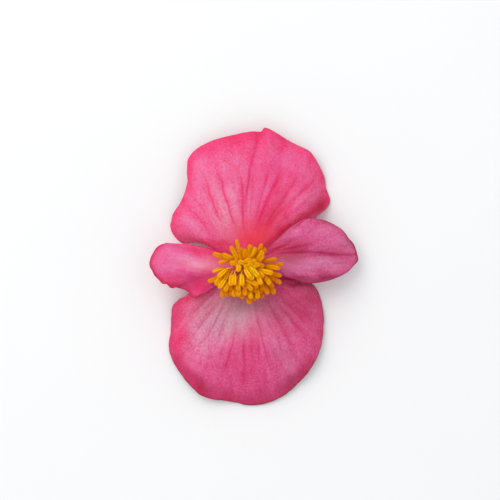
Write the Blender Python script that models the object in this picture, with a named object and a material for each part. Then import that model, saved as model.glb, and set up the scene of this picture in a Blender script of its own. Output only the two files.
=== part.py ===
"""Single male begonia flower, lying face up on a surface.

Metres, +Z up. The Z axis is the axis of the bloom, and the cut end of its stalk stands on z = 0.
+Y points to the middle of the upper tepal and +X to the right tepal. Sizes below are in
millimetres, and MM turns them into metres when a mesh is made.
"""

import math
import random

import bmesh
import bpy
import numpy as np
from mathutils import Matrix, Vector

MM = 0.001

# Stalk and receptacle
STALK_RADIUS = 1.6
COLLAR_RADIUS = 3.4
COLLAR_HEIGHT = 3.0
RECEPTACLE_RADIUS = 2.6
RECEPTACLE_TOP = 6.2
STALK_SIDES = 20

# How the four tepals lie: a low dome, the inner pair one layer above the outer pair
TEPAL_THICKNESS = 0.6
SEAT_GAP = 0.3
CLAW_RADIUS = RECEPTACLE_RADIUS + SEAT_GAP
CLAW_HEIGHT = 4.2
CROWN_RISE = 1.4
CROWN_RADIUS = 17.0
LAYER_STEP = 1.4
FREE_FROM = 12.5
FREE_RUN = 9.0

# Column and stamens
COLUMN_RADIUS = 1.3
COLUMN_BASE = RECEPTACLE_TOP + SEAT_GAP
COLUMN_PLACE = (-0.3, -0.2)
STAMEN_CENTRE = 7.2
ANTHER_LENGTH = 2.8
ANTHER_HALF_WIDTH = 0.52
ANTHER_HALF_DEPTH = 0.42
ANTHER_NOD = 28.0
FILAMENT_RADIUS = 0.24
STAMEN_SIDES = 6
HEAD_LEAN = 15.0
HEAD_LEAN_BEARING = 40.0
LEAST_ELEVATION = 5.0
STAMEN_SEED = 11

# Rows of stamens from the crown outward: angle from the head's axis, count, first and last
# bearing of the row, and length of its filaments. The low rows leave out the upper side.
STAMEN_ROWS = (
    (10.0, 3, 20.0, 380.0, 3.0),
    (27.0, 8, 0.0, 360.0, 3.4),
    (43.0, 12, 10.0, 370.0, 3.8),
    (59.0, 14, 152.0, 385.0, 4.2),
    (75.0, 14, 160.0, 372.0, 4.6),
    (90.0, 9, 190.0, 350.0, 4.8),
)

# Free margins in plan, from one shoulder round to the other, counterclockwise
UPPER_MARGIN = (
    (12.7, 9.8), (14.6, 11.1), (16.2, 12.1), (16.5, 13.3), (15.8, 15.4), (15.2, 18.3),
    (13.0, 22.2), (11.2, 23.6), (8.7, 24.7), (6.3, 26.2), (4.8, 27.1), (3.6, 27.5), (2.8, 26.6),
    (0.7, 26.6), (-3.2, 25.9), (-6.6, 25.1), (-9.6, 23.6), (-11.5, 21.5), (-11.8, 19.1),
    (-11.6, 16.3), (-12.6, 13.1), (-14.3, 10.3), (-15.0, 7.6), (-14.2, 5.8), (-12.8, 4.6),
    (-11.6, 4.2),
)
LOWER_MARGIN = (
    (-11.4, -5.3), (-12.6, -6.4), (-14.0, -7.2), (-14.6, -8.5), (-14.7, -11.1), (-14.9, -13.5),
    (-15.2, -15.9), (-14.5, -18.5), (-12.3, -22.0), (-10.3, -24.2), (-8.1, -25.9), (-3.4, -26.7),
    (1.9, -27.5), (6.8, -25.8), (11.3, -21.9), (14.2, -17.4), (15.0, -13.7), (15.1, -9.4),
    (14.2, -5.2), (12.5, -3.0),
)
RIGHT_MARGIN = (
    (12.0, -3.4), (14.2, -3.2), (16.9, -2.6), (19.7, -1.3), (21.3, 0.2), (22.1, 1.1),
    (21.9, 2.4), (21.3, 4.1), (19.0, 6.9), (17.2, 8.3), (14.9, 9.2), (12.9, 9.5), (11.4, 9.2),
)
LEFT_MARGIN = (
    (-14.4, 4.3), (-16.2, 4.6), (-17.3, 4.0), (-18.6, 2.2), (-19.1, 0.7), (-18.4, -1.4),
    (-16.6, -3.3), (-15.0, -4.0), (-12.8, -4.5), (-11.5, -5.3), (-10.1, -6.3), (-8.7, -5.5),
    (-7.9, -4.1),
)

# Colours as they show on screen, 0 to 255
OUTER_PINK = (238, 92, 142)
LOWER_PINK = (213, 86, 134)
INNER_PINK = (206, 98, 146)
ANTHER_YELLOW = (214, 138, 8)
STALK_GREEN = (176, 150, 104)


def clear_scene():
    for item in list(bpy.data.objects):
        bpy.data.objects.remove(item, do_unlink=True)


def surface_finish(name, screen_colour, roughness):
    """A Principled material from a colour as it shows on screen."""
    def linear(level):
        level /= 255.0
        return level / 12.92 if level <= 0.04045 else ((level + 0.055) / 1.055) ** 2.4

    finish = bpy.data.materials.new(name)
    finish.use_nodes = True
    shader = finish.node_tree.nodes["Principled BSDF"]
    shader.inputs["Base Color"].default_value = (*map(linear, screen_colour), 1.0)
    shader.inputs["Roughness"].default_value = roughness
    shader.inputs["Metallic"].default_value = 0.0
    return finish


def add_solid(name, points_mm, faces, finish):
    """An object from points in millimetres and faces wound outward."""
    mesh = bpy.data.meshes.new(name)
    mesh.from_pydata([Vector(point) * MM for point in points_mm], [], faces)
    mesh.materials.append(finish)
    mesh.shade_smooth()
    solid = bpy.data.objects.new(name, mesh)
    bpy.context.scene.collection.objects.link(solid)
    return solid


def along_curve(knots, count):
    """Points at even steps along a smooth open curve through the knots."""
    knots = np.array(knots, float)
    ends = (2 * knots[0] - knots[1], 2 * knots[-1] - knots[-2])
    held = np.vstack((ends[0], knots, ends[1]))
    steps = np.linspace(0, 1, 24, endpoint=False)[:, None]
    fine = []
    for before, start, stop, after in zip(held, held[1:], held[2:], held[3:]):
        fine.append(0.5 * (2 * start + (stop - before) * steps
                           + (2 * before - 5 * start + 4 * stop - after) * steps**2
                           + (3 * start - before - 3 * stop + after) * steps**3))
    fine = np.vstack(fine + [knots[-1:]])
    travel = np.concatenate(([0], np.cumsum(np.hypot(*np.diff(fine, axis=0).T))))
    wanted = np.linspace(0, travel[-1], count)
    return np.stack([np.interp(wanted, travel, fine[:, axis]) for axis in (0, 1)], axis=1)


def fan_plan(margin, claw, bows, rows, columns):
    """Plan grid of a tepal: rows go out from its claw, columns go across it.

    claw is the bearing of its first and last column on the receptacle. bows says how far each
    side edge bends from a straight line, to the left of its outward run.
    """
    across = np.linspace(0, 1, columns + 1)
    outward = 1 - (1 - np.linspace(0, 1, rows + 1)) ** 1.3
    bearing = np.radians(claw[0] + (claw[1] - claw[0]) * across)
    base = CLAW_RADIUS * np.stack([np.cos(bearing), np.sin(bearing)], axis=1)
    rim = along_curve(margin, columns + 1)
    grid = base + (rim - base) * outward[:, None, None]
    for edge, bow, share in ((0, bows[0], (1 - across) ** 4), (-1, bows[1], across**4)):
        run = rim[edge] - base[edge]
        left = np.array((-run[1], run[0])) / np.hypot(*run)
        bend = bow * np.sin(math.pi * outward)
        grid += bend[:, None, None] * share[None, :, None] * left
    return grid, outward[:, None], across[None, :]


def dome(x, y):
    """Height of the low dome that the outer pair of tepals follows."""
    reach = np.minimum(np.hypot(x, y) / CROWN_RADIUS, 1.6)
    return CLAW_HEIGHT + CROWN_RISE * np.sin(reach * math.pi / 2)


def curl(outward, start, power):
    """0 up to start, then growing to 1 at the margin."""
    return np.clip((outward - start) / (1 - start), 0, 1) ** power


def ridge(distance, width):
    """1 on a line, falling away on both sides of it."""
    return np.exp(-((distance / width) ** 2))


def eased(values, places, heights):
    """Heights at the given places, joined by smooth slopes."""
    places, heights = np.array(places, float), np.array(heights, float)
    index = np.clip(np.searchsorted(places, values) - 1, 0, len(places) - 2)
    share = np.clip((values - places[index]) / (places[index + 1] - places[index]), 0, 1)
    return heights[index] + (heights[index + 1] - heights[index]) * share**2 * (3 - 2 * share)


def upper_height(x, y, outward, across):
    """Broad and open, with both lower corners curled back and a fold at its top notch."""
    bearing = np.degrees(np.arctan2(y, x))
    sink = eased(bearing, (32, 42, 66, 90, 122, 142, 160), (5.8, 5.2, 2.6, 1.6, 2.6, 4.0, 5.8))
    notch = 0.9 * ridge(bearing - 83.6, 2.6) * curl(outward, 0.45, 1.0)
    lip = 0.6 * ridge(bearing - 78.5, 3.0) * curl(outward, 0.55, 1.0)
    hollow = 0.45 * ridge(bearing - 110, 7.0) * curl(outward, 0.2, 1.0)
    waves = 0.22 * np.sin(np.radians(bearing) * 14 + 0.6) * curl(outward, 0.3, 2.0)
    sides = 0.7 * (np.abs(2 * across - 1) ** 10)
    return (dome(x, y) - sink * curl(outward, 0.42, 2.3)
            - notch + lip - hollow + waves - sides)


def lower_height(x, y, outward, across):
    """Broad and domed, with its rim curled down most at the two sides and the tip."""
    bearing = np.degrees(np.arctan2(y, x)) % 360
    sink = eased(bearing, (202, 212, 222, 236, 252, 274, 300, 322, 342),
                 (3.0, 4.2, 5.6, 4.2, 3.4, 4.9, 3.8, 4.6, 5.8))
    crown = 0.5 * ridge(np.hypot(x, y + 15.0), 9.0)
    folds = 0.2 * np.sin(np.radians(bearing) * 12) * curl(outward, 0.3, 1.5)
    sides = 0.7 * (np.abs(2 * across - 1) ** 10)
    return dome(x, y) + crown - sink * curl(outward, 0.42, 2.6) + folds - sides


def hanging_free(x, y):
    """0 where an inner tepal lies on the outer pair, growing to 1 towards its free end."""
    return np.clip((np.hypot(x, y) - FREE_FROM) / FREE_RUN, 0, 1)


def right_height(x, y, outward, across):
    """Creased down along its middle, with both long edges and the tip bent down."""
    crease = 0.9 * ridge(across - 0.56, 0.10) * curl(outward, 0.15, 0.6)
    pleat = 0.3 * ridge(across - 0.80, 0.06) * ridge(outward - 0.35, 0.3)
    edges = 1.2 * np.abs(2 * across - 1) ** 5 * hanging_free(x, y)
    tip = 3.2 * hanging_free(x, y) ** 1.5
    return dome(x, y) + LAYER_STEP - crease - pleat - edges - tip


def left_height(x, y, outward, across):
    """Raised along its middle, with a waved lower margin that curls down into a lobe."""
    spine = 0.9 * ridge(across - 0.42, 0.24) * curl(outward, 0.2, 0.8)
    lower_edge = 4.0 * curl(across, 0.55, 1.4) * hanging_free(x, y)
    upper_edge = 1.2 * curl(1 - across, 0.75, 1.4) * hanging_free(x, y)
    tip = 2.4 * hanging_free(x, y) ** 1.5 * (1 - across)
    waves = 0.35 * np.sin(across * 24) * curl(outward, 0.55, 1.5)
    return dome(x, y) + LAYER_STEP + spine - lower_edge - upper_edge - tip + waves


def add_tepal(name, margin, claw, bows, height, size, finish):
    """A blade of even thickness, split into the same triangles on both faces."""
    rows, columns = size
    plan, outward, across = fan_plan(margin, claw, bows, rows, columns)
    x, y = plan[..., 0], plan[..., 1]
    half = TEPAL_THICKNESS / 2
    # Where the margin reaches the surface, it lies flat on it
    middle = np.dstack((x, y, np.maximum(height(x, y, outward, across), half)))
    facing = np.cross(np.gradient(middle, axis=0), np.gradient(middle, axis=1))
    facing /= np.linalg.norm(facing, axis=2, keepdims=True)
    top = (middle + half * facing).reshape(-1, 3)
    bottom = (middle - half * facing).reshape(-1, 3)

    wide = columns + 1
    under = len(top)
    faces = []
    for row in range(rows):
        for column in range(columns):
            here = row * wide + column
            corners = (here, here + wide, here + wide + 1, here + 1)
            if (row + column) % 2:
                split = ((0, 1, 2), (0, 2, 3))
            else:
                split = ((0, 1, 3), (1, 2, 3))
            for three in split:
                faces.append(tuple(corners[k] for k in three))
                faces.append(tuple(corners[k] + under for k in reversed(three)))
    rim = [row * wide for row in range(rows)]
    rim += [rows * wide + column for column in range(columns)]
    rim += [row * wide + columns for row in range(rows, 0, -1)]
    rim += [column for column in range(columns, 0, -1)]
    for here, there in zip(rim, rim[1:] + rim[:1]):
        faces.append((here, here + under, there + under))
        faces.append((here, there + under, there))
    return add_solid(name, np.vstack((top, bottom)), faces, finish)


def loft(rings):
    """Points and faces of a closed body through rings of equal length, first ring lowest."""
    sides = len(rings[0])
    points = [point for ring in rings for point in ring]
    faces = [tuple(range(sides))[::-1]]
    for level in range(len(rings) - 1):
        low = level * sides
        for side in range(sides):
            after = (side + 1) % sides
            faces.append((low + side, low + after, low + sides + after, low + sides + side))
    last = (len(rings) - 1) * sides
    faces.append(tuple(range(last, last + sides)))
    return points, faces


def turned(profile, sides):
    """Body turned about the Z axis from (radius, height) pairs, lowest first."""
    rings = []
    for radius, height in profile:
        rings.append([
            Vector((radius * math.cos(turn), radius * math.sin(turn), height))
            for turn in (2 * math.pi * side / sides for side in range(sides))
        ])
    return loft(rings)


def add_stalk(finish):
    """Short cut stalk that widens into the receptacle under the tepals."""
    profile = (
        (STALK_RADIUS, 0.0), (STALK_RADIUS * 0.94, 0.8), (STALK_RADIUS * 1.1, 1.8),
        (COLLAR_RADIUS * 0.9, COLLAR_HEIGHT - 0.35), (COLLAR_RADIUS, COLLAR_HEIGHT),
        (RECEPTACLE_RADIUS, COLLAR_HEIGHT + 0.3),
        (RECEPTACLE_RADIUS, RECEPTACLE_TOP - 0.5), (RECEPTACLE_RADIUS * 0.85, RECEPTACLE_TOP),
    )
    points, faces = turned(profile, STALK_SIDES)
    stalk = add_solid("flower_stalk", points, faces, finish)
    stalk.data.set_sharp_from_angle(angle=math.radians(50))
    return stalk


def stamen_plan():
    """Filament direction, anther direction, filament length and roll of every stamen."""
    draw = random.Random(STAMEN_SEED)
    lean_to = math.radians(HEAD_LEAN_BEARING)
    lean = Matrix.Rotation(math.radians(HEAD_LEAN), 3,
                           Vector((-math.sin(lean_to), math.cos(lean_to), 0)))
    for angle, count, first, last, length in STAMEN_ROWS:
        for number in range(count):
            turn = math.radians(first + (last - first) * (number + 0.5) / count
                                + draw.uniform(-6, 6))
            tilt = math.radians(angle + draw.uniform(-5, 5))
            aim = lean @ Vector((math.sin(tilt) * math.cos(turn),
                                 math.sin(tilt) * math.sin(turn), math.cos(tilt)))
            bearing = math.atan2(aim.y, aim.x)
            rise = max(math.degrees(math.asin(aim.z)), LEAST_ELEVATION)
            nod = min(ANTHER_NOD, rise / 2) + draw.uniform(-4, 4)
            yield (towards(bearing, rise), towards(bearing + math.radians(draw.uniform(-8, 8)),
                                                   rise - nod),
                   length * draw.uniform(0.92, 1.06), math.radians(draw.uniform(-25, 25)))


def towards(bearing, elevation):
    """Unit direction at a bearing in radians and an elevation in degrees."""
    level = math.cos(math.radians(elevation))
    return Vector((level * math.cos(bearing), level * math.sin(bearing),
                   math.sin(math.radians(elevation))))


def add_stamen(filament_aim, anther_aim, length, roll, finish):
    """One stamen from inside the column to its tip: thin filament, club-shaped anther."""
    centre = Vector((*COLUMN_PLACE, STAMEN_CENTRE))
    heel = centre + filament_aim * length
    half_width, half_depth = ANTHER_HALF_WIDTH, ANTHER_HALF_DEPTH
    stations = (
        (centre + filament_aim * 0.45, FILAMENT_RADIUS, FILAMENT_RADIUS),
        (heel, FILAMENT_RADIUS, FILAMENT_RADIUS),
        (heel + anther_aim * ANTHER_LENGTH * 0.12, half_width * 0.76, half_depth * 0.8),
        (heel + anther_aim * ANTHER_LENGTH * 0.62, half_width, half_depth),
        (heel + anther_aim * ANTHER_LENGTH * 0.90, half_width * 0.86, half_depth * 0.85),
        (heel + anther_aim * ANTHER_LENGTH, half_width * 0.4, half_depth * 0.4),
    )
    side = anther_aim.cross(Vector((0, 0, 1))).normalized()
    side = Matrix.Rotation(roll, 3, anther_aim) @ side
    back = anther_aim.cross(side)
    rings = []
    for middle, wide, deep in stations:
        rings.append([
            middle + side * (wide * math.cos(turn)) + back * (deep * math.sin(turn))
            for turn in (2 * math.pi * step / STAMEN_SIDES for step in range(STAMEN_SIDES))
        ])
    points, faces = loft(rings)
    return add_solid("stamen", points, faces, finish)


def join_solids(base, pieces):
    """Fuse the pieces into the base with one Boolean union, and remove them."""
    group = bpy.data.collections.new("pieces to join")
    bpy.context.scene.collection.children.link(group)
    for piece in pieces:
        bpy.context.scene.collection.objects.unlink(piece)
        group.objects.link(piece)
    union = base.modifiers.new("join", "BOOLEAN")
    union.operation = "UNION"
    union.operand_type = "COLLECTION"
    union.collection = group
    union.solver = "EXACT"
    bpy.context.view_layer.update()
    joined = bpy.data.meshes.new_from_object(
        base.evaluated_get(bpy.context.evaluated_depsgraph_get()))
    base.modifiers.clear()
    base.data = joined
    for piece in pieces:
        bpy.data.objects.remove(piece, do_unlink=True)
    bpy.data.collections.remove(group)


def keep_main_body(solid):
    """Drop every loose scrap, keeping the body with the most faces."""
    work = bmesh.new()
    work.from_mesh(solid.data)
    seen, bodies = set(), []
    for start in work.faces:
        if start in seen:
            continue
        body, edge_of_search = [], [start]
        seen.add(start)
        while edge_of_search:
            face = edge_of_search.pop()
            body.append(face)
            for edge in face.edges:
                for other in edge.link_faces:
                    if other not in seen:
                        seen.add(other)
                        edge_of_search.append(other)
        bodies.append(body)
    bodies.sort(key=len)
    for body in bodies[:-1]:
        bmesh.ops.delete(work, geom=body, context="FACES")
    work.to_mesh(solid.data)
    work.free()


def add_stamen_head(finish):
    """Column with every stamen grown out of it, as one body."""
    profile = (
        (COLUMN_RADIUS * 1.15, COLUMN_BASE), (COLUMN_RADIUS, STAMEN_CENTRE - 0.3),
        (COLUMN_RADIUS * 0.95, STAMEN_CENTRE + 0.5), (COLUMN_RADIUS * 0.6, STAMEN_CENTRE + 1.1),
    )
    points, faces = turned(profile, 16)
    points = [point + Vector((*COLUMN_PLACE, 0)) for point in points]
    head = add_solid("stamen_head", points, faces, finish)
    stamens = [add_stamen(*stamen, finish) for stamen in stamen_plan()]
    join_solids(head, stamens)
    keep_main_body(head)
    head.data.shade_smooth()


def build():
    clear_scene()
    outer = surface_finish("upper tepal pink", OUTER_PINK, 0.55)
    lower = surface_finish("lower tepal pink", LOWER_PINK, 0.55)
    inner = surface_finish("inner tepal pink", INNER_PINK, 0.55)
    yellow = surface_finish("anther yellow", ANTHER_YELLOW, 0.5)
    green = surface_finish("stalk green", STALK_GREEN, 0.5)
    add_tepal("upper_tepal", UPPER_MARGIN, (18, 152), (-0.4, -1.1), upper_height, (11, 44), outer)
    add_tepal("lower_tepal", LOWER_MARGIN, (204, 340), (0.0, 0.0), lower_height, (11, 42), lower)
    add_tepal("right_tepal", RIGHT_MARGIN, (-38, 46), (0.5, 0.4), right_height, (11, 26), inner)
    add_tepal("left_tepal", LEFT_MARGIN, (138, 216), (-0.7, 0.3), left_height, (11, 28), inner)
    add_stalk(green)
    add_stamen_head(yellow)


build()
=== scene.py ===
import math
import random

import bpy
import numpy as np
from mathutils import Matrix, Vector


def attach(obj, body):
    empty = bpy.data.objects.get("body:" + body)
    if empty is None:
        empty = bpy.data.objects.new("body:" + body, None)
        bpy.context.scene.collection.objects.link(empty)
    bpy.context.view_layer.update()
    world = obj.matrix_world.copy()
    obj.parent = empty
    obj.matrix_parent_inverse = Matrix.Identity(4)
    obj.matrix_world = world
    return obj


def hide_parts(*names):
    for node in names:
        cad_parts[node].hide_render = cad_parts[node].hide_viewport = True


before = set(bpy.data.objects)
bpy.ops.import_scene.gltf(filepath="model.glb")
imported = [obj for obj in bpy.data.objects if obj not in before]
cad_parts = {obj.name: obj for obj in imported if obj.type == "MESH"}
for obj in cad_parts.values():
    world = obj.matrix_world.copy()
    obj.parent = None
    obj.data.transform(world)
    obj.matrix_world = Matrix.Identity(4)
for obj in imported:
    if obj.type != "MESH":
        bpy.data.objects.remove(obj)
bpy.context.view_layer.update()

# Lengths are in millimetres until a mesh is made. The bloom lies face up on z = 0, with +Y
# towards the middle of the upper tepal and +X towards the right one.
MM = 0.001

# Names of the mesh maps: place across and along a piece, distance from a free edge, and how
# lit an anther is painted, beside a number drawn for each
GROWTH_MAP = "Growth"
EDGE_MAP = "Edge"
PAINTED_LIGHT_MAP = "PaintedLight"

# The photograph's frame: bloom length and its place in a picture of 500 by 500 pixels. The
# scale holds at SCALE_HEIGHT, about where the outlines of the tepals are
BLOOM_LENGTH = 55.0
BLOOM_PIXELS = 277.0
PICTURE_PIXELS = 500.0
BLOOM_AXIS_PIXEL = (246.3, 266.1)
CAMERA_HEIGHT = 450.0
SCALE_HEIGHT = 1.5
SENSOR_WIDTH = 36.0

# The studio, in metres and watts
FLOOR_REACH = 1.5
FLOOR_DEPTH = 0.00002
LAMP_PLACE = (-0.25, 0.30, 0.45)
LAMP_SIZE = 0.45
LAMP_POWER = 1.35
SKY_STRENGTH = 0.78

# Stalk and receptacle: radii and heights from the cut end to the top
STALK_RADIUS = 1.6
COLLAR_RADIUS = 3.4
RECEPTACLE_RADIUS = 2.6
RECEPTACLE_TOP = 6.2
STALK_PROFILE = (
    (STALK_RADIUS * 0.92, 0.0), (STALK_RADIUS * 0.97, 0.12), (STALK_RADIUS * 0.94, 0.8),
    (STALK_RADIUS * 1.1, 1.8), (COLLAR_RADIUS * 0.9, 2.65), (COLLAR_RADIUS * 0.98, 2.9),
    (COLLAR_RADIUS * 0.93, 3.08), (RECEPTACLE_RADIUS, 3.4), (RECEPTACLE_RADIUS, 5.5),
    (RECEPTACLE_RADIUS * 0.85, RECEPTACLE_TOP),
)

# How the four tepals lie: a low dome, the inner pair one layer above the outer pair, which
# hangs free from FREE_FROM outward
SOLID_HALF_THICKNESS = 0.3
BLADE_HALF_THICKNESS = 0.21
MARGIN_HALF_THICKNESS = 0.05
MARGIN_ROUNDING = 0.5
CLAW_RADIUS = RECEPTACLE_RADIUS - 0.05
CLAW_HEIGHT = 4.2
CROWN_RISE = 1.4
CROWN_RADIUS = 17.0
CROWN_END = 1.6
LAYER_STEP = 1.4
FREE_FROM = 12.5
FREE_RUN = 9.0
LOWEST_POINT = 0.02

# How a tepal's net of points crowds towards its sides and its margin
SIDE_CROWDING = 0.75
MARGIN_CROWDING = 1.6
BOW_SHARPNESS = 4
CURVE_STEPS = 24

# Relief of a tepal: depth of its veins, waves by length and height, the last of them along
# the margin only
VEIN_DEPTH = 0.035
TISSUE_WAVES = ((6.0, 0.05), (1.6, 0.012))
MARGIN_WAVES = (2.4, 0.07)
MARGIN_WAVES_REACH = 1.4
WAVES_MIXED = 7
WAVES_SHARE = 4.0

# Patterns of the petal tissue, by size, and how strongly its veins show
CLOUD_SIZE = 4.5
MOTTLE_SIZE = 1.5
CELL_SIZE = 0.42
DASHES_ACROSS = 22.0
STREAKS_ACROSS = 64.0
CALMNESS = 0.55
VEIN_STRENGTH = 0.72

# Column of the stamens
COLUMN_RADIUS = 1.3
COLUMN_PLACE = (-0.3, -0.2)
COLUMN_PROFILE = (
    (COLUMN_RADIUS * 1.15, RECEPTACLE_TOP - 0.1), (COLUMN_RADIUS, 6.9),
    (COLUMN_RADIUS * 0.95, 7.7), (COLUMN_RADIUS * 0.6, 8.3), (0.1, 8.45),
)

# Filaments: those of the outer anthers start lower and further out on the column
FILAMENT_RADIUS = 0.17
FILAMENT_SIDES = 9
FILAMENT_RINGS = 11
FILAMENT_GRIP = 0.22
ROOT_RADIUS = 1.05
ROOT_HEIGHT = 8.2
ROOT_DROP = 0.9
ROOT_SPREAD = 4.0
ROOT_RISE = 0.35

# Anthers: their heels stand on a low dome, the head's. Each widens from its heel to a share of
# its length, and is rounded at both ends
HEAD_BASE = 6.9
HEAD_RISE = 4.2
HEAD_REACH = 5.5
HEAD_ROUNDNESS = 0.8
SHORTEST_ANTHER = 1.7
ANTHER_STRETCH = 1.04
ANTHER_HALF_WIDTH = 0.55
ANTHER_HALF_DEPTH = 0.31
ANTHER_SIDES = 24
ANTHER_RINGS = 19
HEEL_WIDTH = 0.62
FULL_FROM = 0.62
HEEL_ROUNDING = 0.08
TIP_ROUNDING = 0.22
FURROW_DEPTH = 0.10
FURROW_WIDTH = 0.26
SLIT_DEPTH = 0.05
SLIT_WIDTH = 0.22
STAMEN_SEED = 11
UP = Vector((0.0, 0.0, 1.0))

# Stamens as seen from above, in tenths of a millimetre: tip of the anther, its heel, and how far
# it stands above its neighbours. Then its roll in degrees, and in hundredths how lit it is
# painted, which paints it from shaded orange to lit yellow and gives the lit ones painted
# highlights
STAMENS = (
    (-19, 53, -14, 22, 3, 62, 50), (-30, 40, -16, 11, 0, 10, 35), (-65, 25, -37, 15, -2, 8, 35),
    (-47, 24, -21, 16, 1, -15, 40), (-54, 6, -30, 11, -2, 58, 40), (-32, 6, -15, 9, 1, 0, 40),
    (-10, 37, -12, 15, -5, 20, 25), (-2, 35, -4, 12, -6, 0, 15), (8, 43, 6, 20, -1, 15, 30),
    (18, 38, 7, 17, 1, 40, 55), (31, 45, 19, 20, 0, 55, 45), (37, 36, 24, 17, -5, 20, 10),
    (32, 32, 20, 12, 2, 20, 55), (34, 24, 20, 8, -1, -20, 30), (60, 15, 30, 9, -3, 50, 20),
    (73, 5, 41, 2, -3, 55, 35), (66, -4, 36, 0, 0, 10, 40), (53, -13, 26, -6, 2, 10, 70),
    (69, -19, 41, -12, -3, 8, 10), (69, -33, 42, -21, -4, 20, 10), (53, -41, 36, -19, -6, 0, 0),
    (56, -54, 40, -31, -2, 10, 20), (43, -55, 29, -33, -1, -8, 20), (32, -62, 26, -39, -7, 10, 0),
    (22, -64, 20, -38, 0, 0, 45), (16, -68, 12, -45, -4, 15, 15), (7, -74, 1, -47, -3, 0, 20),
    (10, -64, 8, -39, 1, 25, 60), (-8, -64, -8, -41, -4, 0, 20), (-2, -57, -1, -34, 0, 20, 40),
    (-15, -59, -16, -33, 0, 0, 50), (-23, -60, -24, -36, -1, 6, 40),
    (-30, -57, -28, -33, -5, 0, 5), (-39, -59, -33, -36, -5, 10, 5),
    (-48, -61, -40, -38, -2, 15, 30), (-42, -49, -31, -27, 1, 10, 55),
    (-54, -43, -36, -19, 3, 0, 95), (-60, -37, -44, -17, 0, 10, 75),
    (-75, -30, -52, -21, -3, 15, 40), (-56, -22, -37, -5, 3, 0, 100),
    (-66, -11, -41, -4, 0, 48, 55), (-30, -38, -30, -16, 3, 20, 85),
    (-23, -37, -23, -14, 3, 0, 100), (-15, -48, -17, -24, 0, 10, 40),
    (-8, -38, -9, -14, 3, 0, 95), (9, -23, -3, -4, 3, 0, 100), (17, -17, 4, 0, 0, 10, 80),
    (25, -21, 10, -1, 3, 0, 85), (30, -36, 19, -13, 4, 0, 90), (47, -36, 32, -17, 2, 0, 65),
    (34, -21, 24, -10, 1, 0, 45), (11, -27, 10, -12, 3, 0, 60), (24, -37, -3, -24, 0, -10, 60),
    (12, -47, -2, -29, -1, 10, 50), (20, -44, 15, -23, -3, 0, 35), (2, -44, -13, -24, -5, 0, 20),
    (31, -47, 27, -25, -5, 0, 10), (41, -29, 28, -7, -4, 0, 20), (-43, -29, -33, -6, -6, 0, 30),
    (-5, 8, 17, 17, -1, 0, 80), (-16, 10, -2, 3, -3, 10, 70), (3, 7, 13, -4, -1, 0, 60),
    (27, 6, 14, -2, -3, 0, 50), (20, 13, 7, 4, -4, 20, 50), (-5, 1, 9, -2, -3, 20, 60),
    (19, -5, 6, 5, -5, 0, 50), (30, 15, 15, 6, -5, 0, 35), (-15, -11, -16, 7, 1, 10, 75),
    (-24, 13, -12, 3, -5, 0, 40), (35, 2, 16, 0, -7, 0, 30), (-11, -53, -13, -29, -9, 0, 10),
    (4, -55, 0, -31, -9, 0, 10), (-20, -51, -20, -29, -9, 0, 15), (18, -51, 11, -29, -9, 10, 10),
    (30, -53, 22, -31, -10, 0, 5), (40, -47, 30, -27, -10, 0, 5), (-31, -47, -27, -23, -9, 0, 10),
    (50, -36, 35, -20, -9, 0, 5), (-39, -41, -31, -20, -9, 0, 10), (56, -26, 38, -13, -9, 0, 5),
    (-49, -31, -32, -13, -9, 0, 25), (53, -5, 32, -3, -8, 0, 10), (4, 33, 2, 9, -8, 0, 15),
    (26, 31, 12, 13, -8, 0, 15), (-17, 26, -10, 4, -8, 0, 20),
)

# Free margins in plan, from one shoulder round to the other, counterclockwise
UPPER_MARGIN = (
    (12.2, 9.9), (14.2, 11.1), (16.1, 11.9), (16.65, 13.3), (15.9, 15.4), (15.25, 18.3),
    (13.05, 22.2), (11.2, 23.5), (8.7, 24.65), (6.3, 26.1), (4.8, 27), (3.6, 27.4),
    (2.8, 26.6), (0.7, 26.6), (-3.2, 25.8), (-6.6, 24.9), (-9.6, 23.35), (-11.4, 21.4),
    (-11.75, 19.1), (-11.65, 16.3), (-12.75, 13.1), (-14.5, 10.3), (-15.05, 7.6),
    (-14.2, 5.8), (-12.8, 4.6), (-11.8, 4.5),
)
LOWER_MARGIN = (
    (-11.2, -5.3), (-12.6, -6.5), (-14.1, -7.3), (-14.75, -8.5), (-14.9, -11.1),
    (-15.1, -13.5), (-15.45, -15.9), (-14.75, -18.5), (-12.5, -22.1), (-10.45, -24.35),
    (-8.1, -26.05), (-3.4, -26.9), (1.9, -27.68), (6.95, -26), (11.45, -22.05),
    (14.3, -17.5), (15.15, -13.7), (15.25, -9.4), (14.35, -5.2), (12.6, -3),
)
RIGHT_MARGIN = (
    (12, -3.4), (14.2, -3.2), (16.9, -2.6), (19.7, -1.3), (21.3, 0.2), (22.1, 1.1),
    (21.95, 2.4), (21.4, 4.1), (20.75, 4.95), (20.2, 5.5), (19.1, 7), (18.3, 7.6), (17.3, 8.2),
    (15.85, 8.9), (14.9, 9.15), (14.3, 9.2), (13.2, 9.4), (12.5, 9.4), (11.4, 9.2),
)
LEFT_MARGIN = (
    (-14.4, 4.15), (-16, 4.4), (-16.7, 4.3), (-17.6, 3.7), (-18.3, 2.7), (-18.8, 1.7),
    (-19, 0.7), (-18.9, -0.1), (-18.4, -1), (-18, -1.8), (-17.2, -2.6), (-16.6, -3.3),
    (-16.2, -3.4), (-15.7, -3.4), (-15.3, -3.8), (-14.9, -4.2), (-14.6, -4.2), (-14.1, -4),
    (-13.4, -4.2), (-12.7, -4.4), (-11.9, -4.7), (-11.3, -5.2), (-10.8, -5.8), (-10.3, -6.15),
    (-9.7, -6.1), (-8.9, -5.5), (-8.4, -4.8), (-8, -4), (-7.4, -3.1),
)


def screen(red, green, blue):
    """A colour as it shows on screen, 0 to 255, in the linear numbers that a shader takes."""
    levels = (red / 255.0, green / 255.0, blue / 255.0)
    return (*(v / 12.92 if v <= 0.04045 else ((v + 0.055) / 1.055) ** 2.4 for v in levels), 1.0)


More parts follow.
